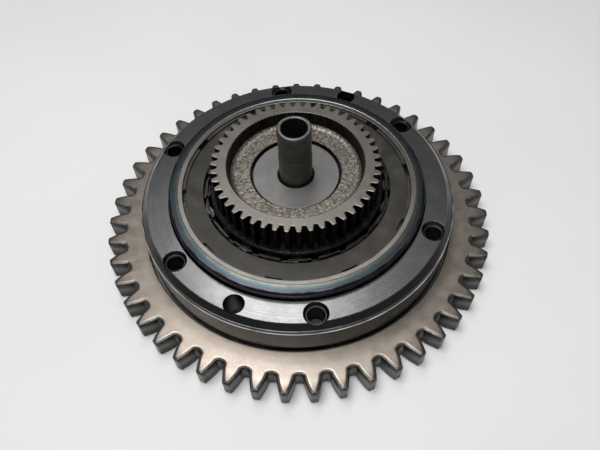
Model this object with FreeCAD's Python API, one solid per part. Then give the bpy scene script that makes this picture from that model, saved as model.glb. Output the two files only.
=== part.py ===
import FreeCAD, Part
import os
from math import acos, cos, pi, radians, sin, sqrt, tan

"""Starter gear with a one-way sprag clutch, millimetres, +Z up.

The origin is on the clutch axis, at the underside of the ring gear. The large
gear, the bolted housing ring and the outer race are one rigid unit. The small
gear, whose skirt is the inner race, turns inside it on a ring of tilting
sprags, and a hollow shaft turns in bushes in the small gear's hub.
"""

Vector = FreeCAD.Vector
Z_AXIS = Vector(0, 0, 1)

# Ring gear
RING_TEETH = 47
RING_MODULE = 3.0
PRESSURE_ANGLE = radians(20)
RING_THICKNESS = 9.0
RING_BORE_R = 44.2
RING_PHASE = radians(4.215)         # direction of one tooth's centre line
RING_EDGE_BREAK = 0.95              # tumbled edges of the teeth
RING_TIP_CORNER = 0.8
RECESS_R = 58.6                     # seat that the housing ring drops into
RECESS_CHAMFER = 0.2
RECESS_FLOOR_Z = 6.0

# Housing ring, bolted to the ring gear from below
HOUSING_R = 58.1
HOUSING_BORE_R = 47.05
HOUSING_WALL_TOP_Z = 19.6
HOUSING_ROUND_Z = 20.3              # end of the rounding above the wall
HOUSING_ROUND_R = 57.9
HOUSING_ROUND_BULGE_R = 58.05
HOUSING_LEDGE_Z = 21.1              # small step between the rounding and the cone
HOUSING_LEDGE_R = 57.5
HOUSING_LEDGE_STEP = 0.2
HOUSING_CONE_TOP_Z = 23.1
HOUSING_CONE_TOP_R = 55.5
HOUSING_FACE_Z = 23.3
HOUSING_FACE_OUT_R = 55.35
HOUSING_FACE_IN_R = 47.6
HOUSING_BORE_BREAK = 0.5
BOLT_CIRCLE_R = 52.36
BOLT_ANGLES = [35 + 60 * k for k in range(6)]
DOWEL_ANGLES = [65, 245]
BOLT_MOUTH_R = 4.3
BOLT_SEAT_R = 3.45
BOLT_MOUTH_DEPTH = 1.4
TAPPED_R = 2.75
TAPPED_LEAD_IN = 0.35
DOWEL_HOLE_R = 3.65
DOWEL_SEAT_R = 3.05
DOWEL_SHOULDER_Z = 10.0              # the hole narrows to the dowel's seat below this
DOWEL_R = 3.0
DOWEL_TOP_Z = 9.6
DOWEL_BOTTOM_Z = 0.5

# Countersunk screws that hold the ring gear to the housing ring
SCREW_R = 2.95
SCREW_HOLE_R = 3.0
SCREW_CLEARANCE_R = 3.3
SCREW_HEAD_R = 5.6
SCREW_HEAD_RIM = 0.4
SCREW_END_Z = 14.5
SCREW_END_CHAMFER = 0.5
SCREW_END_PLAY = 0.3
SCREW_SINK_PLAY = 0.2
SCREW_SUNK = 0.2
SCREW_SOCKET_R = 2.31
SCREW_SOCKET_DEPTH = 1.9

# Outer race
RACE_OUT_R = 47.0
RACE_TRACK_R = 40.0
RACE_BORE_R = 41.7
RACE_SHOULDER_Z = 26.0
RACE_ROUND_MID = (46.8, 26.6)     # the rounding from the wall into the crown
RACE_ROUND_END = (46.4, 26.88)
RACE_CROWN_MID = (45.0, 26.97)
RACE_LIP_R = 43.6
RACE_LIP_Z = 27.0
RACE_TOP_Z = 26.9
RACE_BORE_BREAK = 0.2
RACE_GROOVE_R = 42.75

# Side plates and their retaining rings
PLATE_IN_R = 34.4
PLATE_OUT_R = 41.6
PLATE_THICKNESS = 0.9
PLATE_CHAMFER = 0.15
PLATE_NOTCH_R = 40.5                # the front plate's rim is notched in line with its ring
FRONT_PLATE_Z = 24.6
REAR_PLATE_Z = 7.7
RETAINER_THICKNESS = 0.8
RETAINER_GROOVE_PLAY = 0.05
RETAINER_IN_R = 40.6
RETAINER_OUT_R = 42.65
RETAINER_WEB_R = 41.9
RETAINER_NOTCHES = 10
RETAINER_NOTCH_ANGLE = 8.0
RETAINER_FIRST_NOTCH = 5.5
RETAINER_SPLIT = 3.0
REAR_RETAINER_SPLIT = 6.0

# Sprags and cages, between the two races
SPRAG_COUNT = 20
INNER_RACE_R = 31.67
SPRAG_CLEARANCE = 0.12
SPRAG_CAM_R = 5.0
SPRAG_CAM_SHIFT = 0.6
SPRAG_HEAD_HALF = 2.9
SPRAG_WAIST_HALF = 1.75
SPRAG_SHOULDER = 0.45               # shoulder height over half the sprag's height
SPRAG_BOTTOM_Z = 10.0
SPRAG_TOP_Z = 23.2
CAGE_WALL = 0.8
OUTER_CAGE_R = 38.1
INNER_CAGE_R = 32.75
CAGE_BOTTOM_Z = 9.0
OUTER_CAGE_TOP_Z = 24.3
INNER_CAGE_TOP_Z = 25.6
CAGE_WINDOW_HALF = 3.55
CAGE_WINDOW_MARGIN = 0.35
CAGE_RIM_NOTCH_DEPTH = 1.3
CAGE_RIM_NOTCH_WIDTH = 2.6
CAGE_WINDOW_REACH = 2.0
CLIP_GAP = 0.02                     # between the clips and the cage they sit on
CLIP_WALL = 0.45
CLIP_LOW = 0.1                      # clip edges, from the front plate's faces
CLIP_HIGH = 0.25
CLIP_HOOK_OUT = 0.15
CLIP_HOOK_DROP = 0.35
CLIP_HOOK_ANGLE = 1.2
CLIP_SPANS = [                      # first angle and sweep of each clip
    (193, 8), (233, 5), (260, 9), (298, 13), (325, 21), (2, 14), (48, 16), (150, 18)]
SPRING_R = 35.7
SPRING_WALL = 0.2
SPRING_WINDOW_HALF = 2.9
SPRING_BOTTOM_Z = 9.2
SPRING_TOP_Z = 24.0

# Small gear with its hub and inner race
PINION_TEETH = 47
PINION_MODULE = 1.25
PINION_TIP_R = 30.2
PINION_ROOT_R = 27.85
PINION_PHASE = radians(2.13)
PINION_EDGE_BREAK = 0.25
PINION_TIP_CORNER = 0.25
PINION_TOP_Z = 38.0
INNER_RACE_TOP_Z = 27.0
INNER_RACE_BOTTOM_Z = 7.0
INNER_RACE_TOP_CHAMFER = 0.5
INNER_RACE_LEAD_IN = (0.9, 1.4)     # radial and axial size of the taper at the foot
TEETH_CORE_OVERLAP = 0.6
SKIRT_CORE_OVERLAP = 2.0
SKIRT_IN_R = 26.5
DISH_R = 24.6
DISH_WALL_FOOT_R = 23.9
DISH_FLOOR_Z = 32.3
DISH_FILLET = 2.2
DISH_RIM_BREAK = 0.3
DISH_FLOOR_BREAK = 0.2
HUB_FACE_R = 15.6
HUB_RECESS_R = 16.4
HUB_FACE_Z = 31.2
HUB_GROOVE_Z = 30.5
HUB_FACE_BREAK = 0.15
HUB_MOUTH_R = 6.55
HUB_MOUTH_BREAK = 0.25
HUB_BORE_R = 8.0
HUB_LIP_Z = 29.5
HUB_BOSS_R = 12.0
HUB_BOSS_Z = 8.1
WEB_UNDER_Z = 24.5
WEB_FILLET = 2.0

# Hollow shaft and what rides on it
SHAFT_R = 5.95
SHAFT_BORE_R = 4.5
SHAFT_TOP_Z = 54.6
SHAFT_RELIEF_R = 5.75
SHAFT_RELIEF_Z = (42.1, 48.7)
SHAFT_CHAMFER = 0.45
SHAFT_BORE_CHAMFER = 0.2
BUSH_OUT_R = 7.98
BUSH_IN_R = 6.0
UPPER_BUSH_Z = (20.5, 29.4)
LOWER_BUSH_Z = (8.6, 17.5)
BUSH_CHAMFER = 0.3
WASHER_Z = (7.1, 8.0)
WASHER_R = (6.1, 11.5)
CIRCLIP_Z = (6.05, 6.95)
CIRCLIP_R = (5.38, 7.6)
CIRCLIP_GROOVE_R = 5.3
CIRCLIP_GROOVE_PLAY = 0.1
CIRCLIP_OPENING = 70.0
CIRCLIP_LUG_R = 1.25
CIRCLIP_LUG_CENTRE_R = 7.2
CIRCLIP_LUG_ANGLE = 6.0             # from the opening's edge to the lug
CIRCLIP_LUG_HOLE_R = 0.6

CHAMFER = 0.4
OVERRUN = 1.0                       # how far a cutting tool runs past a face
FILLET_MIDDLE = 1 - sqrt(0.5)       # where a quarter round passes, over its radius

# Tooth outline
FLANK_STEPS = 4
ROOT_START = 0.07                   # flank start above the root, over the tooth's height
EDGE_LAYER = 0.3                    # middle layer of a rounded tooth edge
FLANK_INSET = 0.4                   # radial share of the inset on the flanks
LEAST_LAND = 0.25                   # over the tip corner
CORNER_DROP = 0.3
CORNER_SPREAD = 0.72


def at(radius, angle, z=0.0):
    """Point at a radius and an angle in radians."""
    return Vector(radius * cos(angle), radius * sin(angle), z)


def turned(path):
    """Solid of revolution about Z.

    path lists (r, z) corners in order. A pair of points in place of a corner
    is an arc: the point that it passes through, then its end.
    """
    edges = []
    start = path[0]
    here = Vector(start[0], 0, start[1])
    for step in path[1:] + [start]:
        if isinstance(step[0], tuple):
            middle, end = (Vector(r, 0, z) for r, z in step)
            edges.append(Part.Arc(here, middle, end).toShape())
        else:
            end = Vector(step[0], 0, step[1])
            edges.append(Part.LineSegment(here, end).toShape())
        here = end
    face = Part.Face(Part.Wire(edges))
    return face.revolve(Vector(0, 0, 0), Z_AXIS, 360)


def tube(inner_r, outer_r, z0, z1, chamfer=0.0):
    """Plain ring, with its outer edges chamfered."""
    if chamfer == 0.0:
        return turned([(inner_r, z0), (outer_r, z0), (outer_r, z1), (inner_r, z1)])
    return turned([
        (inner_r, z0), (outer_r - chamfer, z0), (outer_r, z0 + chamfer),
        (outer_r, z1 - chamfer), (outer_r - chamfer, z1), (inner_r, z1)])


def rod(radius, z0, z1, x=0.0, y=0.0):
    return Part.makeCylinder(radius, z1 - z0, Vector(x, y, z0), Z_AXIS)


def turn(shape, degrees):
    """Copy of a shape, turned about the clutch axis."""
    copy = shape.copy()
    copy.rotate(Vector(0, 0, 0), Z_AXIS, degrees)
    return copy


def around(shape, angles):
    return [turn(shape, angle) for angle in angles]


def radial_box(r0, r1, half_width, z0, z1):
    """Box that straddles the +X axis between two radii."""
    return Part.makeBox(r1 - r0, 2 * half_width, z1 - z0, Vector(r0, -half_width, z0))


def sector(r0, r1, z0, z1, first_angle, sweep):
    """Ring segment between two radii, from first_angle over sweep degrees."""
    face = Part.Face(Part.makePolygon([
        Vector(r0, 0, z0), Vector(r1, 0, z0), Vector(r1, 0, z1),
        Vector(r0, 0, z1), Vector(r0, 0, z0)]))
    return turn(face.revolve(Vector(0, 0, 0), Z_AXIS, sweep), first_angle)


def involute(angle):
    return tan(angle) - angle


def tooth_half_angle(radius, teeth, module):
    """Half the angle that an involute tooth covers at a radius."""
    pitch_r = teeth * module / 2
    base_r = pitch_r * cos(PRESSURE_ANGLE)
    here = involute(acos(min(1.0, base_r / radius)))
    return pi / (2 * teeth) + involute(PRESSURE_ANGLE) - here


def flank_curve(teeth, module, radii, centre, side, shrink, drop, z):
    """One flank through the given radii, and its last point."""
    points = []
    for r in radii:
        half = tooth_half_angle(r, teeth, module) - shrink
        points.append(at(r - drop, centre + side * half, z))
    curve = Part.BSplineCurve()
    curve.interpolate(points)
    return curve.toShape(), points[-1]


def gear_wire(teeth, module, tip_r, root_r, corner, phase, inset, z):
    """Closed outline of a spur gear, drawn inset by a distance all round."""
    base_r = teeth * module / 2 * cos(PRESSURE_ANGLE)
    start_r = root_r + ROOT_START * (tip_r - root_r)
    end_r = tip_r - corner
    shrink = inset / base_r
    drop = inset * FLANK_INSET
    up = [start_r + (end_r - start_r) * k / FLANK_STEPS for k in range(FLANK_STEPS + 1)]
    pitch = 2 * pi / teeth
    start_half = tooth_half_angle(start_r, teeth, module) - shrink
    corner_half = tooth_half_angle(end_r, teeth, module) - shrink
    land = max(corner_half - corner / tip_r, LEAST_LAND * corner / tip_r)
    bulge_r = tip_r - inset - CORNER_DROP * corner
    bulge = land + CORNER_SPREAD * (corner_half - land)
    edges = []
    for k in range(teeth):
        centre = phase + k * pitch
        rising, rise_end = flank_curve(teeth, module, up, centre, -1, shrink, drop, z)
        falling, fall_end = flank_curve(teeth, module, up[::-1], centre, 1, shrink, drop, z)
        tip_a = at(tip_r - inset, centre - land, z)
        tip_b = at(tip_r - inset, centre + land, z)
        fall_start = at(end_r - drop, centre + corner_half, z)
        root = at(root_r - inset, centre + pitch / 2, z)
        next_start = at(start_r - drop, centre + pitch - start_half, z)
        edges.append(rising)
        edges.append(Part.Arc(rise_end, at(bulge_r, centre - bulge, z), tip_a).toShape())
        edges.append(Part.Arc(tip_a, at(tip_r - inset, centre, z), tip_b).toShape())
        edges.append(Part.Arc(tip_b, at(bulge_r, centre + bulge, z), fall_start).toShape())
        edges.append(falling)
        edges.append(Part.Arc(fall_end, root, next_start).toShape())
    return Part.Wire(edges)


def spur_gear(teeth, module, tip_r, root_r, corner, phase, edge_break, z0, z1):
    """Gear blank with rounded tooth edges on both faces."""
    layer = EDGE_LAYER * edge_break
    levels = [
        (z0, edge_break), (z0 + layer, layer), (z0 + edge_break, 0.0),
        (z1 - edge_break, 0.0), (z1 - layer, layer), (z1, edge_break)]
    wires = [
        gear_wire(teeth, module, tip_r, root_r, corner, phase, inset, z)
        for z, inset in levels]
    return Part.makeLoft(wires, True, True)


def bolt_spots(angles):
    """Centres on the bolt circle."""
    return [at(BOLT_CIRCLE_R, radians(a)) for a in angles]


def make_ring_gear():
    tip_r = RING_MODULE * (RING_TEETH + 2) / 2
    root_r = RING_MODULE * (RING_TEETH - 2.5) / 2
    blank = spur_gear(
        RING_TEETH, RING_MODULE, tip_r, root_r, RING_TIP_CORNER, RING_PHASE,
        RING_EDGE_BREAK, 0.0, RING_THICKNESS)
    bore = turned([
        (0, -OVERRUN), (RING_BORE_R + CHAMFER, -OVERRUN), (RING_BORE_R + CHAMFER, 0),
        (RING_BORE_R, CHAMFER), (RING_BORE_R, RECESS_FLOOR_Z),
        (RECESS_R, RECESS_FLOOR_Z), (RECESS_R, RING_THICKNESS - RECESS_CHAMFER),
        (RECESS_R + RECESS_CHAMFER, RING_THICKNESS),
        (RECESS_R + RECESS_CHAMFER, RING_THICKNESS + OVERRUN),
        (0, RING_THICKNESS + OVERRUN)])
    tools = [bore]
    sink_depth = SCREW_HEAD_R - SCREW_CLEARANCE_R
    for spot in bolt_spots(BOLT_ANGLES):
        tools.append(rod(SCREW_CLEARANCE_R, -OVERRUN, RECESS_FLOOR_Z + OVERRUN, spot.x, spot.y))
        mouth_r = SCREW_HEAD_R + SCREW_SINK_PLAY
        rim_z = SCREW_SUNK + SCREW_HEAD_RIM
        tools.append(rod(mouth_r, -OVERRUN, rim_z, spot.x, spot.y))
        sink = Part.makeCone(mouth_r, SCREW_CLEARANCE_R, sink_depth, Vector(spot.x, spot.y, rim_z))
        tools.append(sink)
    for spot in bolt_spots(DOWEL_ANGLES):
        tools.append(rod(DOWEL_SEAT_R, -OVERRUN, RECESS_FLOOR_Z + OVERRUN, spot.x, spot.y))
    return blank.cut(tools)


def make_housing_ring():
    wall_top_mid = (HOUSING_ROUND_BULGE_R, (HOUSING_WALL_TOP_Z + HOUSING_ROUND_Z) / 2)
    ring = turned([
        (HOUSING_BORE_R, RECESS_FLOOR_Z),
        (HOUSING_R - CHAMFER, RECESS_FLOOR_Z),
        (HOUSING_R, RECESS_FLOOR_Z + CHAMFER),
        (HOUSING_R, HOUSING_WALL_TOP_Z),
        (wall_top_mid, (HOUSING_ROUND_R, HOUSING_ROUND_Z)),
        (HOUSING_LEDGE_R, HOUSING_LEDGE_Z),
        (HOUSING_LEDGE_R - HOUSING_LEDGE_STEP, HOUSING_LEDGE_Z),
        (HOUSING_CONE_TOP_R, HOUSING_CONE_TOP_Z),
        (HOUSING_FACE_OUT_R, HOUSING_FACE_Z),
        (HOUSING_FACE_IN_R, HOUSING_FACE_Z),
        (HOUSING_BORE_R, HOUSING_FACE_Z - HOUSING_BORE_BREAK)])
    mouth_floor = HOUSING_FACE_Z - BOLT_MOUTH_DEPTH
    bottom = RECESS_FLOOR_Z - OVERRUN
    top = HOUSING_FACE_Z + OVERRUN
    tools = []
    for spot in bolt_spots(BOLT_ANGLES):
        lead_foot = Vector(spot.x, spot.y, mouth_floor - TAPPED_LEAD_IN)
        mouth_foot = Vector(spot.x, spot.y, mouth_floor)
        tools.append(rod(SCREW_HOLE_R, bottom, SCREW_END_Z + SCREW_END_PLAY, spot.x, spot.y))
        tools.append(rod(TAPPED_R, bottom, top, spot.x, spot.y))
        tools.append(Part.makeCone(
            TAPPED_R, TAPPED_R + TAPPED_LEAD_IN, TAPPED_LEAD_IN, lead_foot))
        tools.append(Part.makeCone(BOLT_SEAT_R, BOLT_MOUTH_R, BOLT_MOUTH_DEPTH, mouth_foot))
        tools.append(rod(BOLT_MOUTH_R, HOUSING_FACE_Z, top, spot.x, spot.y))
    for spot in bolt_spots(DOWEL_ANGLES):
        tools.append(rod(DOWEL_SEAT_R, bottom, top, spot.x, spot.y))
        tools.append(rod(DOWEL_HOLE_R, DOWEL_SHOULDER_Z, top, spot.x, spot.y))
    return ring.cut(tools)


def make_outer_race():
    rear_seat = REAR_PLATE_Z + PLATE_THICKNESS
    rear_groove = REAR_PLATE_Z - RETAINER_THICKNESS - RETAINER_GROOVE_PLAY
    front_groove = FRONT_PLATE_Z + PLATE_THICKNESS
    front_groove_top = front_groove + RETAINER_THICKNESS + RETAINER_GROOVE_PLAY
    return turned([
        (RACE_OUT_R, RECESS_FLOOR_Z),
        (RACE_OUT_R, RACE_SHOULDER_Z),
        (RACE_ROUND_MID, RACE_ROUND_END),
        (RACE_CROWN_MID, (RACE_LIP_R, RACE_LIP_Z)),
        (RACE_LIP_R - RACE_BORE_BREAK, RACE_TOP_Z),
        (RACE_BORE_R + RACE_BORE_BREAK, RACE_TOP_Z),
        (RACE_BORE_R, RACE_TOP_Z - RACE_BORE_BREAK),
        (RACE_BORE_R, front_groove_top),
        (RACE_GROOVE_R, front_groove_top),
        (RACE_GROOVE_R, front_groove),
        (RACE_BORE_R, front_groove),
        (RACE_BORE_R, FRONT_PLATE_Z),
        (RACE_TRACK_R, FRONT_PLATE_Z),
        (RACE_TRACK_R, rear_seat),
        (RACE_BORE_R, rear_seat),
        (RACE_BORE_R, REAR_PLATE_Z),
        (RACE_GROOVE_R, REAR_PLATE_Z),
        (RACE_GROOVE_R, rear_groove),
        (RACE_BORE_R, rear_groove),
        (RACE_BORE_R, RECESS_FLOOR_Z)])


def make_plate(z0):
    return tube(PLATE_IN_R, PLATE_OUT_R, z0, z0 + PLATE_THICKNESS, PLATE_CHAMFER)


def notch_angles():
    step = 360 / RETAINER_NOTCHES
    return [RETAINER_FIRST_NOTCH + step * k for k in range(RETAINER_NOTCHES)]


def rim_notches(r0, r1, z0, z1):
    """Cutters for the ring's notches between two radii and two heights."""
    notch = sector(r0, r1, z0, z1, -RETAINER_NOTCH_ANGLE / 2, RETAINER_NOTCH_ANGLE)
    return around(notch, notch_angles())


def make_front_plate():
    z1 = FRONT_PLATE_Z + PLATE_THICKNESS
    notches = rim_notches(
        PLATE_NOTCH_R, PLATE_OUT_R + OVERRUN, FRONT_PLATE_Z - OVERRUN, z1 + OVERRUN)
    return make_plate(FRONT_PLATE_Z).cut(notches)


def make_front_retainer():
    """Flat ring with notches in its inner edge, split at one of them."""
    z0 = FRONT_PLATE_Z + PLATE_THICKNESS
    z1 = z0 + RETAINER_THICKNESS
    ring = tube(RETAINER_IN_R, RETAINER_OUT_R, z0, z1)
    notches = rim_notches(RETAINER_IN_R - OVERRUN, RETAINER_WEB_R, z0 - OVERRUN, z1 + OVERRUN)
    split = sector(
        RETAINER_IN_R, RETAINER_OUT_R + OVERRUN, z0 - OVERRUN, z1 + OVERRUN,
        -RETAINER_SPLIT / 2, RETAINER_SPLIT)
    return ring.cut(notches + [turn(split, notch_angles()[2])])


def make_rear_retainer():
    z1 = REAR_PLATE_Z
    z0 = z1 - RETAINER_THICKNESS
    split = sector(
        RETAINER_IN_R - OVERRUN, RETAINER_OUT_R + OVERRUN, z0 - OVERRUN, z1 + OVERRUN,
        0, REAR_RETAINER_SPLIT)
    return tube(RETAINER_IN_R, RETAINER_OUT_R, z0, z1).cut(split)


def sprag_angles():
    return [360 / SPRAG_COUNT * k for k in range(SPRAG_COUNT)]


def make_sprag():
    """Sprag at angle 0: two cam heads, shifted opposite ways, and a waist."""
    centre_r = (RACE_TRACK_R + INNER_RACE_R) / 2
    half_height = (RACE_TRACK_R - INNER_RACE_R) / 2 - SPRAG_CLEARANCE
    drop = SPRAG_CAM_R - half_height

    def place(along, outward):
        return Vector(centre_r + outward, along, SPRAG_BOTTOM_Z)

    def cam(along, flip):
        """Point of one head's arc, flipped through the centre for the other."""
        rise = sqrt(SPRAG_CAM_R ** 2 - (along - SPRAG_CAM_SHIFT) ** 2) - drop
        return place(flip * along, flip * rise)

    def waist(flip):
        return place(flip * SPRAG_WAIST_HALF, 0)

    shoulder_rise = half_height * SPRAG_SHOULDER
    edges = []
    for flip in (1, -1):
        left = cam(-SPRAG_HEAD_HALF, flip)
        right = cam(SPRAG_HEAD_HALF, flip)
        edges.append(Part.Arc(left, cam(SPRAG_CAM_SHIFT, flip), right).toShape())
        shoulder = place(flip * SPRAG_HEAD_HALF, flip * shoulder_rise)
        edges.append(Part.LineSegment(right, shoulder).toShape())
        edges.append(Part.LineSegment(shoulder, waist(flip)).toShape())
        far_shoulder = place(flip * SPRAG_HEAD_HALF, -flip * shoulder_rise)
        edges.append(Part.LineSegment(waist(flip), far_shoulder).toShape())
        next_left = cam(-SPRAG_HEAD_HALF, -flip)
        edges.append(Part.LineSegment(far_shoulder, next_left).toShape())
    face = Part.Face(Part.Wire(edges))
    return face.extrude(Vector(0, 0, SPRAG_TOP_Z - SPRAG_BOTTOM_Z))


def cage_windows(r_mid, half_width, z0, z1):
    box = radial_box(
        r_mid - CAGE_WINDOW_REACH, r_mid + CAGE_WINDOW_REACH, half_width, z0, z1)
    return around(box, sprag_angles())


def make_outer_cage():
    band = tube(OUTER_CAGE_R, OUTER_CAGE_R + CAGE_WALL, CAGE_BOTTOM_Z, OUTER_CAGE_TOP_Z)
    windows = cage_windows(
        OUTER_CAGE_R, CAGE_WINDOW_HALF,
        SPRAG_BOTTOM_Z - CAGE_WINDOW_MARGIN, SPRAG_TOP_Z + CAGE_WINDOW_MARGIN)
    return band.cut(windows)


def make_inner_cage():
    band = tube(INNER_CAGE_R, INNER_CAGE_R + CAGE_WALL, CAGE_BOTTOM_Z, INNER_CAGE_TOP_Z)
    windows = cage_windows(
        INNER_CAGE_R, CAGE_WINDOW_HALF,
        SPRAG_BOTTOM_Z - CAGE_WINDOW_MARGIN, SPRAG_TOP_Z + CAGE_WINDOW_MARGIN)
    notch = radial_box(
        INNER_CAGE_R - OVERRUN, INNER_CAGE_R + CAGE_WALL + OVERRUN, CAGE_RIM_NOTCH_WIDTH / 2,
        INNER_CAGE_TOP_Z - CAGE_RIM_NOTCH_DEPTH, INNER_CAGE_TOP_Z + OVERRUN)
    half_step = 180 / SPRAG_COUNT
    notches = around(notch, [angle + half_step for angle in sprag_angles()])
    return band.cut(windows + notches)


def make_ribbon_spring():
    """Thin ribbon between the cages, with a window round each sprag's waist."""
    band = tube(SPRING_R, SPRING_R + SPRING_WALL, SPRING_BOTTOM_Z, SPRING_TOP_Z)
    windows = cage_windows(
        SPRING_R, SPRING_WINDOW_HALF,
        SPRAG_BOTTOM_Z - CAGE_WINDOW_MARGIN, SPRAG_TOP_Z + CAGE_WINDOW_MARGIN)
    return band.cut(windows)


def make_cage_clips():
    """Short leaf clips on the rim of the cage, each with a hooked end."""
    r0 = INNER_CAGE_R + CAGE_WALL + CLIP_GAP
    r1 = r0 + CLIP_WALL
    z0 = FRONT_PLATE_Z + CLIP_LOW
    z1 = FRONT_PLATE_Z + PLATE_THICKNESS + CLIP_HIGH
    clips = []
    for first, sweep in CLIP_SPANS:
        leaf = sector(r0, r1, z0, z1, first, sweep)
        hook = sector(
            r0, r1 + CLIP_HOOK_OUT, z0, z1 - CLIP_HOOK_DROP,
            first + sweep - CLIP_HOOK_ANGLE, CLIP_HOOK_ANGLE)
        clips.append(leaf.fuse(hook).removeSplitter())
    return Part.makeCompound(clips)


def make_skirt():
    """Inner race below the teeth, with the web that carries the hub."""
    lead_r, lead_z = INNER_RACE_LEAD_IN
    core_r = PINION_ROOT_R - TEETH_CORE_OVERLAP
    core_z = INNER_RACE_TOP_Z + SKIRT_CORE_OVERLAP
    return turned([
        (0, WEB_UNDER_Z), (SKIRT_IN_R, WEB_UNDER_Z), (SKIRT_IN_R, INNER_RACE_BOTTOM_Z),
        (INNER_RACE_R - lead_r, INNER_RACE_BOTTOM_Z),
        (INNER_RACE_R, INNER_RACE_BOTTOM_Z + lead_z),
        (INNER_RACE_R, INNER_RACE_TOP_Z - INNER_RACE_TOP_CHAMFER),
        (INNER_RACE_R - INNER_RACE_TOP_CHAMFER, INNER_RACE_TOP_Z),
        (core_r, INNER_RACE_TOP_Z), (core_r, core_z), (0, core_z)])


def make_hub_boss():
    """Boss under the web, with a fillet where it meets the web."""
    fillet_r = HUB_BOSS_R + FILLET_MIDDLE * WEB_FILLET
    fillet_z = WEB_UNDER_Z - FILLET_MIDDLE * WEB_FILLET
    return turned([
        (0, HUB_BOSS_Z), (HUB_BOSS_R - CHAMFER, HUB_BOSS_Z), (HUB_BOSS_R, HUB_BOSS_Z + CHAMFER),
        (HUB_BOSS_R, WEB_UNDER_Z - WEB_FILLET),
        ((fillet_r, fillet_z), (HUB_BOSS_R + WEB_FILLET, WEB_UNDER_Z)),
        (HUB_BOSS_R + WEB_FILLET, WEB_UNDER_Z + OVERRUN), (0, WEB_UNDER_Z + OVERRUN)])


def make_dish_tool():
    """What the dish, the hub's face and its groove remove from the top."""
    fillet_r = DISH_WALL_FOOT_R - FILLET_MIDDLE * DISH_FILLET
    fillet_z = DISH_FLOOR_Z + FILLET_MIDDLE * DISH_FILLET
    return turned([
        (0, HUB_FACE_Z), (HUB_FACE_R - HUB_FACE_BREAK, HUB_FACE_Z),
        (HUB_FACE_R, HUB_FACE_Z - HUB_FACE_BREAK),
        (HUB_FACE_R, HUB_GROOVE_Z), (HUB_RECESS_R, HUB_GROOVE_Z),
        (HUB_RECESS_R, DISH_FLOOR_Z - DISH_FLOOR_BREAK),
        (HUB_RECESS_R + DISH_FLOOR_BREAK, DISH_FLOOR_Z),
        (DISH_WALL_FOOT_R - DISH_FILLET, DISH_FLOOR_Z),
        ((fillet_r, fillet_z), (DISH_WALL_FOOT_R, DISH_FLOOR_Z + DISH_FILLET)),
        (DISH_R - DISH_RIM_BREAK, PINION_TOP_Z - DISH_RIM_BREAK), (DISH_R, PINION_TOP_Z),
        (DISH_R, PINION_TOP_Z + OVERRUN), (0, PINION_TOP_Z + OVERRUN)])


def make_inner_gear():
    teeth = spur_gear(
        PINION_TEETH, PINION_MODULE, PINION_TIP_R, PINION_ROOT_R, PINION_TIP_CORNER,
        PINION_PHASE, PINION_EDGE_BREAK, INNER_RACE_TOP_Z - INNER_RACE_TOP_CHAMFER, PINION_TOP_Z)
    mouth_top_r = HUB_MOUTH_R + HUB_MOUTH_BREAK
    bore = turned([
        (0, HUB_BOSS_Z - OVERRUN), (HUB_BORE_R, HUB_BOSS_Z - OVERRUN), (HUB_BORE_R, HUB_LIP_Z),
        (HUB_MOUTH_R, HUB_LIP_Z), (HUB_MOUTH_R, HUB_FACE_Z - HUB_MOUTH_BREAK),
        (mouth_top_r, HUB_FACE_Z), (mouth_top_r, HUB_FACE_Z + OVERRUN),
        (0, HUB_FACE_Z + OVERRUN)])
    blank = teeth.fuse([make_skirt(), make_hub_boss()])
    return blank.cut([make_dish_tool(), bore]).removeSplitter()


def make_bush(z_span):
    z0, z1 = z_span
    c = BUSH_CHAMFER
    return turned([
        (BUSH_IN_R + c, z0), (BUSH_OUT_R - c, z0), (BUSH_OUT_R, z0 + c), (BUSH_OUT_R, z1 - c),
        (BUSH_OUT_R - c, z1), (BUSH_IN_R + c, z1), (BUSH_IN_R, z1 - c), (BUSH_IN_R, z0 + c)])


def make_shaft():
    groove_z0 = CIRCLIP_Z[0] - CIRCLIP_GROOVE_PLAY
    groove_z1 = CIRCLIP_Z[1] + CIRCLIP_GROOVE_PLAY
    relief_z0, relief_z1 = SHAFT_RELIEF_Z
    taper = SHAFT_R - SHAFT_RELIEF_R
    return turned([
        (SHAFT_BORE_R, 0), (SHAFT_R - CHAMFER, 0), (SHAFT_R, CHAMFER), (SHAFT_R, groove_z0),
        (CIRCLIP_GROOVE_R, groove_z0), (CIRCLIP_GROOVE_R, groove_z1), (SHAFT_R, groove_z1),
        (SHAFT_R, relief_z0), (SHAFT_RELIEF_R, relief_z0 + taper),
        (SHAFT_RELIEF_R, relief_z1 - taper), (SHAFT_R, relief_z1),
        (SHAFT_R, SHAFT_TOP_Z - SHAFT_CHAMFER), (SHAFT_R - SHAFT_CHAMFER, SHAFT_TOP_Z),
        (SHAFT_BORE_R + SHAFT_BORE_CHAMFER, SHAFT_TOP_Z),
        (SHAFT_BORE_R, SHAFT_TOP_Z - SHAFT_BORE_CHAMFER)])


def make_circlip():
    z0, z1 = CIRCLIP_Z
    inner_r, outer_r = CIRCLIP_R
    ring = sector(inner_r, outer_r, z0, z1, CIRCLIP_OPENING / 2, 360 - CIRCLIP_OPENING)
    lugs = []
    holes = []
    for side in (-1, 1):
        angle = side * (CIRCLIP_OPENING / 2 + CIRCLIP_LUG_ANGLE)
        spot = at(CIRCLIP_LUG_CENTRE_R, radians(angle))
        lugs.append(rod(CIRCLIP_LUG_R, z0, z1, spot.x, spot.y))
        holes.append(rod(CIRCLIP_LUG_HOLE_R, z0 - OVERRUN, z1 + OVERRUN, spot.x, spot.y))
    return ring.fuse(lugs).cut(holes).removeSplitter()


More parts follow.
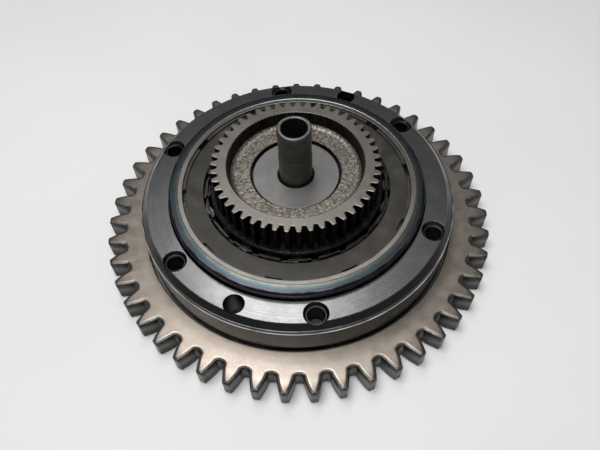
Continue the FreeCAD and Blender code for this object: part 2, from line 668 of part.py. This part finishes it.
def make_screw():
    """Countersunk screw, head down, on the bolt circle at angle 0."""
    head_top = SCREW_SUNK + SCREW_HEAD_RIM + SCREW_HEAD_R - SCREW_R
    body = turned([
        (0, SCREW_SUNK), (SCREW_HEAD_R, SCREW_SUNK), (SCREW_HEAD_R, SCREW_SUNK + SCREW_HEAD_RIM),
        (SCREW_R, head_top), (SCREW_R, SCREW_END_Z - SCREW_END_CHAMFER),
        (SCREW_R - SCREW_END_CHAMFER, SCREW_END_Z),
        (0, SCREW_END_Z)])
    corners = [at(SCREW_SOCKET_R, radians(60 * k), SCREW_SUNK) for k in range(7)]
    socket = Part.Face(Part.makePolygon(corners)).extrude(Vector(0, 0, SCREW_SOCKET_DEPTH))
    screw = body.cut(socket)
    screw.translate(Vector(BOLT_CIRCLE_R, 0, 0))
    return screw


def make_dowel():
    """Dowel pin on the bolt circle at angle 0, with chamfered ends."""
    pin = turned([
        (0, DOWEL_BOTTOM_Z), (DOWEL_R - CHAMFER, DOWEL_BOTTOM_Z),
        (DOWEL_R, DOWEL_BOTTOM_Z + CHAMFER), (DOWEL_R, DOWEL_TOP_Z - CHAMFER),
        (DOWEL_R - CHAMFER, DOWEL_TOP_Z), (0, DOWEL_TOP_Z)])
    pin.translate(Vector(BOLT_CIRCLE_R, 0, 0))
    return pin


def make_nodes():
    nodes = {
        "ring_gear": make_ring_gear(),
        "housing_ring": make_housing_ring(),
        "outer_race": make_outer_race(),
        "front_plate": make_front_plate(),
        "rear_plate": make_plate(REAR_PLATE_Z),
        "front_retaining_ring": make_front_retainer(),
        "rear_retaining_ring": make_rear_retainer(),
        "outer_cage": make_outer_cage(),
        "inner_cage": make_inner_cage(),
        "ribbon_spring": make_ribbon_spring(),
        "cage_clips": make_cage_clips(),
        "inner_gear": make_inner_gear(),
        "upper_bush": make_bush(UPPER_BUSH_Z),
        "lower_bush": make_bush(LOWER_BUSH_Z),
        "hollow_shaft": make_shaft(),
        "thrust_washer": tube(WASHER_R[0], WASHER_R[1], WASHER_Z[0], WASHER_Z[1]),
        "shaft_circlip": make_circlip(),
        "flange_screws": Part.makeCompound(around(make_screw(), BOLT_ANGLES)),
        "dowel_pins": Part.makeCompound(around(make_dowel(), DOWEL_ANGLES)),
    }
    sprag = make_sprag()
    for k, angle in enumerate(sprag_angles()):
        nodes["sprag_%02d" % (k + 1)] = turn(sprag, angle)
    return nodes


os.makedirs("parts", exist_ok=True)
for name, shape in make_nodes().items():
    shape.exportStep("parts/%s.step" % name)
    print(name, shape.isValid(), len(shape.Solids), round(shape.Volume, 1))
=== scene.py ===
import bpy
import math
from mathutils import Matrix, Vector


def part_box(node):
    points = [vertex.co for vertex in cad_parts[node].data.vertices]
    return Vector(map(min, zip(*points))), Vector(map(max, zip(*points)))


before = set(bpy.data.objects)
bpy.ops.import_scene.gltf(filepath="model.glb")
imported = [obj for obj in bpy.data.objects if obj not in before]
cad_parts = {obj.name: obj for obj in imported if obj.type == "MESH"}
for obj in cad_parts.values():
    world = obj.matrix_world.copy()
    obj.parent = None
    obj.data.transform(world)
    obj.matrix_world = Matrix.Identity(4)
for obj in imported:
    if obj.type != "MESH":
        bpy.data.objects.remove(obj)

"""Looks of the starter gear with its one-way clutch. Metres, +Z up, clutch axis on Z.

Every CAD node keeps its shape and is dressed with finishes, region by region.
Small roundings on edges, grain and tool marks are in the finishes.
"""

MM = 0.001
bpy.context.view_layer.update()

# Driving sizes, read from the frame
ring_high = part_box("ring_gear")[1]
housing_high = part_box("housing_ring")[1]
race_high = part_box("outer_race")[1]
pinion_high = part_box("inner_gear")[1]
shaft_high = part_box("hollow_shaft")[1]

TIP_R = ring_high.y
GEAR_FACE_Z = ring_high.z
HOUSING_FACE_Z = housing_high.z
RACE_R = race_high.x
PINION_FACE_Z = pinion_high.z
SHAFT_TOP_Z = shaft_high.z
FLOOR_Z = -0.02 * MM                # just clear of the gear's back

# Where one finish gives way to the next inside a node
GEAR_ROOT_R = 64 * MM
GEAR_SEAT_R = 60 * MM
GEAR_FADE_R = 67.5 * MM             # the face dips and takes painted shade from here to the tips
HOUSING_FLAT_R = 55.36 * MM
WALL_LOW_Z = 19 * MM
RACE_SHOULDER_Z = 26.0 * MM
LIP_R = 43.6 * MM
LIP_BORE_R = 41.75 * MM
PINION_FOOT_Z = 26.5 * MM
PINION_ROOT_R = 27.85 * MM
COLLAR_TOP_Z = 27.05 * MM
SKIRT_R = 26.9 * MM
DISH_R = 24.6 * MM
DISH_FILLET_Z = 33.4 * MM
DISH_FLOOR_Z = 32.3 * MM
HUB_RECESS_R = 16.4 * MM
HUB_RECESS_Z = 30.3 * MM
HUB_FACE_R = 15.6 * MM
HUB_FACE_Z = 31.0 * MM
HUB_MOUTH_R = 6.6 * MM
HUB_BORE_R = 8.2 * MM
SHAFT_BORE_R = 4.7 * MM


# ---------------------------------------------------------------- materials

class Graph:
    """A material's node tree, with short calls for the nodes used here."""

    def __init__(self, name, **sockets):
        self.material = bpy.data.materials.new(name)
        self.material.use_nodes = True
        self.tree = self.material.node_tree
        self.shader = self.tree.nodes["Principled BSDF"]
        self.set(self.shader, sockets)
        self.place = self.add("ShaderNodeTexCoord").outputs["Object"]
        split = self.add("ShaderNodeSeparateXYZ", Vector=self.place)
        self.x, self.y, self.z = split.outputs

    def set(self, node, sockets):
        for key, value in sockets.items():
            socket = node.inputs[key if isinstance(key, int) else key.replace("_", " ")]
            if isinstance(value, bpy.types.NodeSocket):
                self.tree.links.new(value, socket)
            elif hasattr(value, "__len__") and len(value) == 3 and socket.type == "RGBA":
                socket.default_value = (*value, 1.0)
            else:
                socket.default_value = value

    def add(self, kind, settings=None, **sockets):
        node = self.tree.nodes.new(kind)
        for key, value in (settings or {}).items():
            setattr(node, key, value)
        self.set(node, sockets)
        return node

    def math(self, operation, a, b=0.0):
        node = self.add("ShaderNodeMath", {"operation": operation})
        self.set(node, {0: a, 1: b})
        return node.outputs[0]

    def smooth(self, value, low, high, start=0.0, end=1.0):
        """start below low, end above high, and a smooth step between."""
        node = self.add("ShaderNodeMapRange", {"interpolation_type": "SMOOTHSTEP"})
        self.set(node, {0: value, 1: low, 2: high, 3: start, 4: end})
        return node.outputs[0]

    def radius(self):
        return self.math("SQRT", self.math(
            "ADD", self.math("MULTIPLY", self.x, self.x), self.math("MULTIPLY", self.y, self.y)))

    def stretched(self, across, up):
        """Texture space with one scale across the axis and another along it."""
        node = self.add("ShaderNodeMapping", {}, Vector=self.place)
        node.inputs["Scale"].default_value = (across, across, up)
        return node.outputs[0]

    def polar(self, around, along, up):
        """Texture space wound round the axis: angle, radius and height, each with its scale."""
        turn = self.math("ARCTAN2", self.y, self.x)
        join = self.add("ShaderNodeCombineXYZ")
        self.set(join, {
            0: self.math("MULTIPLY", turn, around),
            1: self.math("MULTIPLY", self.radius(), along),
            2: self.math("MULTIPLY", self.z, up)})
        return join.outputs[0]

    def noise(self, scale, detail=2.0, roughness=0.5, vector=None, distortion=0.0):
        node = self.add(
            "ShaderNodeTexNoise", {}, Vector=vector or self.place, Scale=scale,
            Detail=detail, Roughness=roughness, Distortion=distortion)
        return node.outputs["Fac"]

    def grains(self, scale):
        """Distance to the middle of the nearest grain."""
        return self.add(
            "ShaderNodeTexVoronoi", {}, Vector=self.place, Scale=scale).outputs["Distance"]

    def mix(self, factor, a, b):
        node = self.add("ShaderNodeMix", {"data_type": "RGBA"})
        self.set(node, {0: factor, 6: a, 7: b})
        return node.outputs[2]

    def ramp(self, factor, stops):
        node = self.add("ShaderNodeValToRGB", {}, Fac=factor)
        elements = node.color_ramp.elements
        while len(elements) < len(stops):
            elements.new(0.5)
        for element, (where, colour) in zip(elements, stops):
            element.position = where
            element.color = (*colour, 1.0)
        return node.outputs["Color"]

    def bump(self, height, distance, strength=1.0, normal=None):
        node = self.add(
            "ShaderNodeBump", {}, Height=height, Distance=distance, Strength=strength)
        if normal is not None:
            self.set(node, {"Normal": normal})
        return node.outputs["Normal"]

    def rounded(self, radius, samples=5):
        """Normal rounded off near edges, as tumbling or deburring leaves them."""
        node = self.add("ShaderNodeBevel", {"samples": samples}, Radius=radius)
        return node.outputs[0]

    def edge_mask(self, normal):
        """One on a rounded-off edge, zero on the flat beside it."""
        dot = self.add("ShaderNodeVectorMath", {"operation": "DOT_PRODUCT"})
        true_normal = self.add("ShaderNodeNewGeometry").outputs["Normal"]
        self.set(dot, {0: normal, 1: true_normal})
        return self.smooth(self.math("SUBTRACT", 1.0, dot.outputs["Value"]), 0.0, 0.09)

    def finish(self, **sockets):
        self.set(self.shader, sockets)
        return self.material


def grey(level, warm=0.0):
    """Neutral colour with a little warmth (positive) or coolness (negative)."""
    return (level * (1 + warm), level, level * (1 - warm))


def dimmed(colour, share):
    return tuple(share * c for c in colour)


def cloudy(g, base, light):
    """Colour that drifts from base towards light, in clouds and in grains."""
    cloud = g.noise(1400 / 12, 4.0, 0.6)
    grain = g.noise(1400, 2.0, 0.7)
    both = g.math("ADD", g.math("MULTIPLY", cloud, 0.6), g.math("MULTIPLY", grain, 0.4))
    return g.mix(g.smooth(both, 0.2, 0.8), base, light)


def tumbled_steel(name, base, light, rough, edge_radius, fade_from=None, fade_to=None):
    """Satin warm steel with an even grain, its edges rolled over and given painted shade.

    With the two fade radii, the face also dips and takes painted shade from one to the other.
    """
    g = Graph(name, Metallic=0.9, Specular_IOR_Level=0.5)
    normal = g.rounded(edge_radius, 8)
    grain = g.noise(3000, 3.0, 0.7)
    pits = g.smooth(g.noise(1300, 3.0, 0.7), 0.60, 0.72)
    colour = g.mix(g.math("MULTIPLY", pits, 0.45), cloudy(g, base, light), dimmed(base, 0.45))
    # painted shade: the rolled-off edges are darkened to a small share of the base colour
    colour = g.mix(g.edge_mask(normal), colour, dimmed(base, 0.15))
    height = g.math("SUBTRACT", grain, g.math("MULTIPLY", pits, 0.8))
    roughness = g.smooth(g.noise(220, 3.0, 0.6), 0.3, 0.7, rough - 0.04, rough + 0.05)
    if fade_from:
        dip = g.smooth(g.radius(), fade_from, fade_to, 1.0, 0.0)
        normal = g.bump(dip, 0.15 * MM, 1.0, normal)
        # painted shade: the face darkens towards the tooth tips, where it dips and rolls off
        tip_shade = g.smooth(g.radius(), fade_from + 1 * MM, fade_to, 0.0, 0.8)
        colour = g.mix(tip_shade, colour, dimmed(base, 0.2))
    return g.finish(
        Base_Color=colour, Roughness=roughness, Normal=g.bump(height, 0.016 * MM, 0.6, normal))


def flank_steel(name, levels, low, high, rough, edge_radius):
    """Tooth flanks: levels gives the painted reflection and painted shade at shares of the height
    from low to high.
    """
    g = Graph(name, Metallic=0.9, Specular_IOR_Level=0.5)
    lines = g.noise(1.0, 3.0, 0.6, g.stretched(3800, 90))
    drift = g.math("SUBTRACT", g.noise(420, 3.0, 0.65), 0.5)
    along = g.math("ADD", g.smooth(g.z, low, high), g.math("MULTIPLY", drift, 0.16))
    # painted reflection and painted shade: the ramp lightens and darkens the flank by height
    colour = g.ramp(along, [(stop, (c, c * 0.99, c * 0.92)) for stop, c in levels])
    return g.finish(
        Base_Color=colour, Roughness=g.smooth(lines, 0.3, 0.7, rough - 0.06, rough + 0.08),
        Normal=g.bump(lines, 0.008 * MM, 0.5, g.rounded(edge_radius, 8)))


def radial_tangent(g):
    """Direction round the axis, for highlights stretched by turning marks."""
    return g.add("ShaderNodeTangent", {"direction_type": "RADIAL", "axis": "Z"}).outputs[0]


def turned_steel(name, base, light, rough, anisotropy, lines=0.006, edge=0.15 * MM):
    """Face turned or ground on a lathe: fine rings that stretch the highlight."""
    g = Graph(name, Metallic=1.0, Anisotropic=anisotropy)
    rings = g.noise(1.0, 4.0, 0.75, g.polar(0.8, 9000, 9000))
    broad = g.noise(1.0, 2.0, 0.5, g.polar(0.5, 1400, 1400))
    cloud = g.noise(160, 4.0, 0.6)
    colour = g.mix(g.smooth(cloud, 0.3, 0.75), base, light)
    colour = g.mix(g.smooth(rings, 0.45, 0.75, 0.0, 0.3), colour, grey(0.12))
    height = g.math("ADD", rings, g.math("MULTIPLY", broad, 0.7))
    return g.finish(
        Base_Color=colour, Roughness=g.smooth(rings, 0.25, 0.75, rough - 0.04, rough + 0.06),
        Tangent=radial_tangent(g), Normal=g.bump(height, lines * MM, 0.6, g.rounded(edge)))


def polish(g, colour, blotch, rough, edge):
    """Fine marks round the axis, duller where the blotches are."""
    bands = g.noise(1.0, 3.0, 0.6, g.polar(4.0, 60, 5200))
    return g.finish(
        Base_Color=colour, Roughness=g.smooth(blotch, 0.3, 0.7, rough - 0.04, rough + 0.08),
        Normal=g.bump(bands, 0.004 * MM, 0.5, g.rounded(edge)))


def polished_wall(name, base, light, rough):
    """Ground cylinder or cone, polished round the axis, with faint stains."""
    g = Graph(name, Metallic=0.95, Specular_IOR_Level=0.5)
    blotch = g.noise(1.0, 3.0, 0.55, g.polar(9.0, 30, 140))
    colour = g.mix(g.smooth(blotch, 0.4, 0.68), base, light)
    return polish(g, colour, blotch, rough, 0.15 * MM)


def ringed_wall(name, low, high, levels):
    """Outside of the housing: levels gives the painted highlights and shade at heights in
    millimetres.
    """
    g = Graph(name, Metallic=0.95, Specular_IOR_Level=0.5)
    height = g.math("DIVIDE", g.math("SUBTRACT", g.z, low), high - low)
    blotch = g.noise(1.0, 3.0, 0.55, g.polar(9.0, 30, 140))
    # painted highlights and shade: the ramp of levels by height
    stops = [((z * MM - low) / (high - low), (c, c, c * 1.01)) for z, c in levels]
    colour = g.mix(g.smooth(blotch, 0.4, 0.68, 0.0, 0.45), g.ramp(height, stops), grey(0.03))
    return polish(g, colour, blotch, 0.2, 0.12 * MM)


def heat_tinted(name):
    """Hardened race: blue and straw temper colours that wander round the rim."""
    g = Graph(name, Metallic=1.0, Anisotropic=0.5)
    wander = g.noise(1.0, 3.0, 0.6, g.polar(7.0, 160, 120))
    across = g.smooth(g.radius(), LIP_R, RACE_R)
    drift = g.math("ADD", across, g.math("MULTIPLY", g.math("SUBTRACT", wander, 0.5), 0.9))
    colour = g.ramp(drift, [
        (0.0, (0.19, 0.19, 0.165)), (0.18, (0.115, 0.145, 0.145)), (0.40, (0.09, 0.13, 0.145)),
        (0.62, (0.085, 0.105, 0.135)), (0.80, (0.12, 0.115, 0.135)), (0.95, (0.03, 0.035, 0.04))])
    rings = g.noise(1.0, 3.0, 0.7, g.polar(0.8, 7000, 7000))
    return g.finish(
        Base_Color=colour, Roughness=g.smooth(rings, 0.3, 0.7, 0.2, 0.3),
        Tangent=radial_tangent(g), Normal=g.bump(rings, 0.005 * MM, 0.5, g.rounded(0.1 * MM)))


def oiled_plate(name, level):
    """Dark phosphated sheet with an oil film and faint red and green stains."""
    g = Graph(name, Metallic=0.25, Specular_IOR_Level=0.4)
    cloud = g.noise(120, 5.0, 0.65, distortion=0.4)
    stain = g.noise(75, 3.0, 0.6)
    speck = g.smooth(g.noise(2600, 2.0, 0.6), 0.66, 0.78)
    colour = g.ramp(cloud, [
        (0.3, dimmed((0.026, 0.024, 0.020), level)), (0.52, dimmed((0.042, 0.038, 0.032), level)),
        (0.7, dimmed((0.064, 0.057, 0.043), level))])
    colour = g.mix(g.smooth(stain, 0.58, 0.75, 0.0, 0.5), colour, (0.085, 0.052, 0.046))
    colour = g.mix(g.smooth(stain, 0.42, 0.3, 0.0, 0.4), colour, (0.05, 0.062, 0.045))
    colour = g.mix(g.math("MULTIPLY", speck, 0.3), colour, (0.20, 0.18, 0.15))
    rings = g.noise(1.0, 2.0, 0.6, g.polar(1.5, 2600, 2600))
    return g.finish(
        Base_Color=colour, Roughness=g.smooth(cloud, 0.3, 0.7, 0.38, 0.5),
        Normal=g.bump(rings, 0.006 * MM, 0.4, g.rounded(0.12 * MM)))


def blasted_forging(name):
    """Rough floor of the dish: forged and shot-blasted, sparkling grains."""
    g = Graph(name, Metallic=0.85, Specular_IOR_Level=0.5)
    bumps = g.noise(1100, 3.0, 0.65)
    fine = g.noise(3400, 2.0, 0.7)
    grains = g.grains(1500)
    both = g.math("ADD", bumps, g.math("MULTIPLY", fine, 0.4))
    height = g.math("ADD", both, g.math("MULTIPLY", grains, 0.4))
    colour = g.ramp(bumps, [
        (0.3, (0.07, 0.063, 0.053)), (0.5, (0.19, 0.172, 0.148)), (0.68, (0.40, 0.36, 0.31))])
    return g.finish(
        Base_Color=colour, Roughness=g.smooth(fine, 0.3, 0.7, 0.36, 0.5),
        Normal=g.bump(height, 0.22 * MM, 0.9))


def shaft_finish(name):
    """Dark tube with fine turning lines round it."""
    g = Graph(name, Metallic=0.8, Specular_IOR_Level=0.5)
    lines = g.noise(1.0, 4.0, 0.7, g.polar(1.2, 200, 6500))
    stain = g.noise(190, 4.0, 0.6)
    colour = g.ramp(stain, [
        (0.3, (0.06, 0.058, 0.052)), (0.55, (0.09, 0.086, 0.078)), (0.75, (0.13, 0.125, 0.11))])
    return g.finish(
        Base_Color=colour, Roughness=g.smooth(lines, 0.3, 0.7, 0.3, 0.42),
        Normal=g.bump(lines, 0.006 * MM, 0.5, g.rounded(0.3 * MM)))


def rolled_steel(name, base, rough=0.24):
    """Spring or cage strip with a rolled skin."""
    g = Graph(name, Metallic=1.0)
    streaks = g.noise(1.0, 3.0, 0.6, g.polar(3.0, 4200, 2600))
    stain = g.noise(340, 3.0, 0.6)
    colour = g.mix(g.smooth(stain, 0.35, 0.7), grey(base, 0.02), grey(base * 0.6, 0.05))
    return g.finish(
        Base_Color=colour, Roughness=g.smooth(streaks, 0.3, 0.7, rough - 0.06, rough + 0.1),
        Normal=g.bump(streaks, 0.006 * MM, 0.5, g.rounded(0.06 * MM)))


def porous_bronze(name):
    """Sintered bush with open pores, its bronze darkened as painted shade of the recess it sits
    in.
    """
    g = Graph(name, Metallic=1.0)
    pores = g.smooth(g.noise(3200, 3.0, 0.7), 0.58, 0.7)
    cloud = g.noise(240, 3.0, 0.6)
    # painted shade: the bronze is kept very dark, as in the recess round the shaft
    colour = g.mix(g.smooth(cloud, 0.3, 0.7), (0.055, 0.038, 0.02), (0.10, 0.07, 0.035))
    colour = g.mix(pores, colour, (0.02, 0.015, 0.01))
    return g.finish(
        Base_Color=colour, Roughness=g.smooth(pores, 0.0, 1.0, 0.34, 0.6),
        Normal=g.bump(g.math("SUBTRACT", 1.0, pores), 0.02 * MM, 0.7))


def black_oxide(name):
    """Blackened screw heads with a fine grain."""
    g = Graph(name, Metallic=0.6, Specular_IOR_Level=0.5)
    cloud = g.noise(420, 4.0, 0.65)
    colour = g.mix(g.smooth(cloud, 0.35, 0.7), (0.022, 0.022, 0.024), (0.06, 0.058, 0.056))
    grain = g.noise(4200, 2.0, 0.6)
    return g.finish(
        Base_Color=colour, Roughness=g.smooth(cloud, 0.3, 0.7, 0.36, 0.52),
        Normal=g.bump(grain, 0.008 * MM, 0.5))


def table_paint(name):
    """Pale matt table top."""
    g = Graph(name, Specular_IOR_Level=0.25)
    cloud = g.noise(9, 3.0, 0.5)
    colour = g.mix(g.smooth(cloud, 0.3, 0.7), (0.79, 0.80, 0.79), (0.82, 0.825, 0.815))
    grain = g.noise(900, 2.0, 0.5)
    return g.finish(Base_Color=colour, Roughness=0.6, Normal=g.bump(grain, 0.01 * MM, 0.3))


# ------------------------------------------------------------------ dressing

def dress(node, finishes, choose=None):
    """Gives a CAD node its finishes; choose(radius, height, normal) picks one per face."""
    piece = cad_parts[node]
    mesh = piece.data
    mesh.materials.clear()
    for material in finishes:
        mesh.materials.append(material)
    for polygon in mesh.polygons:
        middle = polygon.center
        r = math.hypot(middle.x, middle.y)
        polygon.material_index = choose(r, middle.z, polygon.normal) if choose else 0


def gear_choice(r, z, n):
    """0 face, 1 flank, 2 seat and bore, 3 rolled edge."""
    if r < GEAR_SEAT_R and 0.5 * MM < z < GEAR_FACE_Z - 0.1 * MM:
        return 2
    if abs(n.z) < 0.4:
        return 1
    return 3 if abs(n.z) < 0.97 and r > GEAR_ROOT_R else 0


def housing_choice(r, z, n):
    """0 ground flat, 1 wall and cone, 2 inside of a hole or of the bore."""
    if n.z > 0.9 and z > HOUSING_FACE_Z - 0.05 * MM:
        return 0
    return 2 if r < HOUSING_FLAT_R - 0.05 * MM else 1


def race_choice(r, z, n):
    """0 tinted crown, 1 lip, 2 everything else."""
    if z > RACE_SHOULDER_Z - 0.01 * MM and r > LIP_R - 0.1 * MM:
        return 0
    return 1 if z > RACE_SHOULDER_Z and r > LIP_BORE_R and n.z > 0.3 else 2


def pinion_choice(r, z, n):
    """0 face, 1 flank, 2 dish wall and groove, 3 floor, 4 hub face, 5 bore, 6 race."""
    if z > PINION_FACE_Z - 0.5 * MM and r > DISH_R - 0.2 * MM:
        return 1 if abs(n.z) < 0.3 else 0
    if r > PINION_ROOT_R - 0.4 * MM and z > COLLAR_TOP_Z:
        return 1
    if r > SKIRT_R:
        return 6
    if z > DISH_FILLET_Z:
        return 2
    if z > DISH_FLOOR_Z - 0.3 * MM and r > HUB_RECESS_R - 0.05 * MM:
        return 3
    if z > HUB_RECESS_Z and r > HUB_FACE_R - 0.05 * MM:
        return 2
    if z > HUB_FACE_Z and r > HUB_MOUTH_R:
        return 4
    return 5 if r < HUB_BORE_R else 6


def shaft_choice(r, z, n):
    """0 outside, 1 end rim, 2 bore."""
    if z > SHAFT_TOP_Z - 0.05 * MM and n.z > 0.9:
        return 1
    return 2 if r < SHAFT_BORE_R else 0


def dress_ring_gear():
    face = tumbled_steel(
        "gear_face", (0.31, 0.265, 0.225), (0.41, 0.355, 0.305), 0.33, 1.0 * MM,
        GEAR_FADE_R, TIP_R)
    # painted shade at the foot and under the top edge, with a lighter painted reflection band
    # between
    flank = flank_steel(
        "gear_flank", [(0.1, 0.025), (0.3, 0.05), (0.5, 0.10), (0.72, 0.11), (0.86, 0.03)],
        0.0, GEAR_FACE_Z, 0.34, 0.3 * MM)
    # painted shade on the rolled tooth edges, darkest towards the flank
    rolled = flank_steel(
        "rolled_edge", [(0.2, 0.02), (0.88, 0.02), (0.96, 0.035), (1.0, 0.12)],
        0.0, GEAR_FACE_Z, 0.45, 0.3 * MM)
    seat = turned_steel("machined_seat", grey(0.30), grey(0.38), 0.32, 0.3)
    dress("ring_gear", [face, flank, seat, rolled], gear_choice)


def dress_housing_ring():
    """The wall and cone are dark, with a painted highlight line along the round top of the wall
    and thin painted highlight lines higher on the cone and at its top edge.
    """
    ground = turned_steel("ground_face", grey(0.24), grey(0.30), 0.23, 0.45)
    # painted highlights: bright bands at 20.05 to 20.28 mm, 21.12 mm and 23.1 mm on a dark wall
    wall = ringed_wall(
        "dark_wall_painted_highlights", WALL_LOW_Z, HOUSING_FACE_Z,
        [(19.0, 0.02), (19.95, 0.025), (20.05, 0.8), (20.28, 0.75), (20.36, 0.08), (21.0, 0.07),
         (21.12, 0.13), (21.25, 0.08), (22.85, 0.07), (23.1, 0.16)])
    hole = polished_wall("hole_wall", grey(0.04), grey(0.07), 0.32)
    dress("housing_ring", [ground, wall, hole], housing_choice)


def dress_outer_race():
    tint = heat_tinted("heat_tint")
    lip = turned_steel("race_lip", grey(0.21, 0.05), grey(0.27, 0.06), 0.36, 0.4)
    track = polished_wall("race_track", grey(0.06), grey(0.1), 0.24)
    dress("outer_race", [tint, lip, track], race_choice)


def dress_plates_and_fixings():
    plate = oiled_plate("oiled_plate", 1.0)
    ring = oiled_plate("oiled_ring", 1.2)
    for side in ("front", "rear"):
        dress(side + "_plate", [plate])
        dress(side + "_retaining_ring", [ring])
    dress("flange_screws", [black_oxide("black_oxide")])
    dress("dowel_pins", [turned_steel("dowel_steel", grey(0.42), grey(0.52), 0.2, 0.3)])


def dress_sprag_parts():
    # painted shade: the cage steel is kept dark, as in the shade under the pinion's teeth
    cage = rolled_steel("cage_steel", 0.07, 0.3)
    sprag = turned_steel("sprag_steel", grey(0.16), grey(0.24), 0.2, 0.2)
    dress("outer_cage", [cage])
    dress("inner_cage", [cage])
    dress("ribbon_spring", [rolled_steel("spring_steel", 0.16)])
    for node in sorted(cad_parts):
        if node.startswith("sprag_"):
            dress(node, [sprag])


def dress_inner_gear():
    face = tumbled_steel("pinion_face", (0.20, 0.185, 0.165), (0.27, 0.25, 0.225), 0.38, 0.2 * MM)
    # painted shade: the pinion flanks are near black, slightly less so two thirds up
    flank = flank_steel(
        "pinion_flank", [(0.1, 0.008), (0.4, 0.014), (0.7, 0.022), (0.9, 0.012)],
        PINION_FOOT_Z, PINION_FACE_Z, 0.26, 0.15 * MM)
    # painted shade: the dish wall and the groove round the hub are near black
    wall = polished_wall("dish_wall_painted_shade", grey(0.014, 0.003), grey(0.035, 0.006), 0.4)
    floor = blasted_forging("blasted_floor")
    hub = turned_steel("hub_face", grey(0.215, 0.03), grey(0.255, 0.035), 0.5, 0.0, 0.004)
    bore = polished_wall("dark_bore", grey(0.08), grey(0.14), 0.4)
    # painted shade: the inner race is near black, as in the shade under the pinion's teeth
    race = polished_wall("inner_race_painted_shade", grey(0.03), grey(0.05), 0.24)
    dress(
        "inner_gear", [face, flank, wall, floor, hub, bore, race],
        pinion_choice)
    bronze = porous_bronze("porous_bronze")
    dress("upper_bush", [bronze])
    dress("lower_bush", [bronze])
    return bore


def dress_shaft(bore):
    tube = shaft_finish("shaft_finish")
    rim = turned_steel("shaft_rim", grey(0.24), grey(0.32), 0.34, 0.0, edge=0.45 * MM)
    clip = rolled_steel("clip_steel", 0.16, 0.2)
    dress("hollow_shaft", [tube, rim, bore], shaft_choice)
    dress("thrust_washer", [turned_steel("washer_face", grey(0.4), grey(0.5), 0.28, 0.5)])
    dress("shaft_circlip", [clip])
    dress("cage_clips", [clip])


# --------------------------------------------------------------------- stage

CAMERA_FOCAL = 35.82
CAMERA_SENSOR = 36.0
CAMERA_BACK = 1.898                 # in tip radii, from the axis
CAMERA_HEIGHT = 2.552               # in tip radii, above the gear face
CAMERA_YAW = math.radians(0.30)
CAMERA_PITCH = math.radians(54.77)
CAMERA_ROLL = math.radians(-2.21)


def make_camera():
    """Camera in front of the gear, looking down at it."""
    ahead = Vector((
        math.sin(CAMERA_YAW) * math.cos(CAMERA_PITCH),
        math.cos(CAMERA_YAW) * math.cos(CAMERA_PITCH),
        -math.sin(CAMERA_PITCH)))
    level = Vector((math.cos(CAMERA_YAW), -math.sin(CAMERA_YAW), 0))
    up = level.cross(ahead)
    right = level * math.cos(CAMERA_ROLL) + up * math.sin(CAMERA_ROLL)
    top = up * math.cos(CAMERA_ROLL) - level * math.sin(CAMERA_ROLL)
    camera = bpy.data.objects.new("camera", bpy.data.cameras.new("camera"))
    camera.data.lens = CAMERA_FOCAL
    camera.data.sensor_width = CAMERA_SENSOR
    camera.data.clip_start = 0.01
    turn = Matrix((right, top, -ahead)).transposed().to_4x4()
    place = Vector((0, -CAMERA_BACK * TIP_R, GEAR_FACE_Z + CAMERA_HEIGHT * TIP_R))
    camera.matrix_world = Matrix.Translation(place) @ turn
    bpy.context.scene.collection.objects.link(camera)
    bpy.context.scene.camera = camera


def make_floor():
    half = 30 * TIP_R
    corners = [(-half, -half), (half, -half), (half, half), (-half, half)]
    mesh = bpy.data.meshes.new("floor")
    mesh.from_pydata([(x, y, FLOOR_Z) for x, y in corners], [], [(0, 1, 2, 3)])
    mesh.materials.append(table_paint("table_paint"))
    floor = bpy.data.objects.new("floor", mesh)
    bpy.context.scene.collection.objects.link(floor)


def area_light(name, direction, distance, width, height, power):
    """Softbox that faces the object, in tip radii from its centre."""
    data = bpy.data.lights.new(name, "AREA")
    data.shape = "RECTANGLE"
    data.size = width * TIP_R
    data.size_y = height * TIP_R
    data.energy = power
    light = bpy.data.objects.new(name, data)
    away = Vector(direction).normalized()
    light.location = away * distance * TIP_R
    light.rotation_mode = "QUATERNION"
    light.rotation_quaternion = away.to_track_quat("Z", "Y")
    bpy.context.scene.collection.objects.link(light)


def make_room():
    """Dim room with a lighter band at the horizon."""
    world = bpy.data.worlds.new("room")
    world.use_nodes = True
    nodes, links = world.node_tree.nodes, world.node_tree.links
    background = nodes["Background"]
    coords = nodes.new("ShaderNodeTexCoord")
    split = nodes.new("ShaderNodeSeparateXYZ")
    ramp = nodes.new("ShaderNodeValToRGB")
    links.new(coords.outputs["Generated"], split.inputs[0])
    links.new(split.outputs["Z"], ramp.inputs[0])
    links.new(ramp.outputs[0], background.inputs["Color"])
    stops = [(0.0, 0.24), (0.18, 0.15), (0.45, 0.15), (1.0, 0.18)]
    elements = ramp.color_ramp.elements
    while len(elements) < len(stops):
        elements.new(0.5)
    for element, (height, level) in zip(elements, stops):
        element.position = height
        element.color = (level, level, level * 1.02, 1)
    bpy.context.scene.world = world


def make_lights():
    """A compact light behind the object, a broad one over it, and the room round them."""
    area_light("back_window", (-0.07, 0.42, 0.905), 9.0, 2.1, 2.1, 0.35)
    area_light("overhead", (-0.12, -0.10, 0.985), 10.0, 7.0, 5.0, 4.6)
    make_room()


dress_ring_gear()
dress_housing_ring()
dress_outer_race()
dress_plates_and_fixings()
dress_sprag_parts()
dress_shaft(dress_inner_gear())
make_floor()
make_lights()
make_camera()
bpy.context.scene.view_settings.view_transform = "Standard"
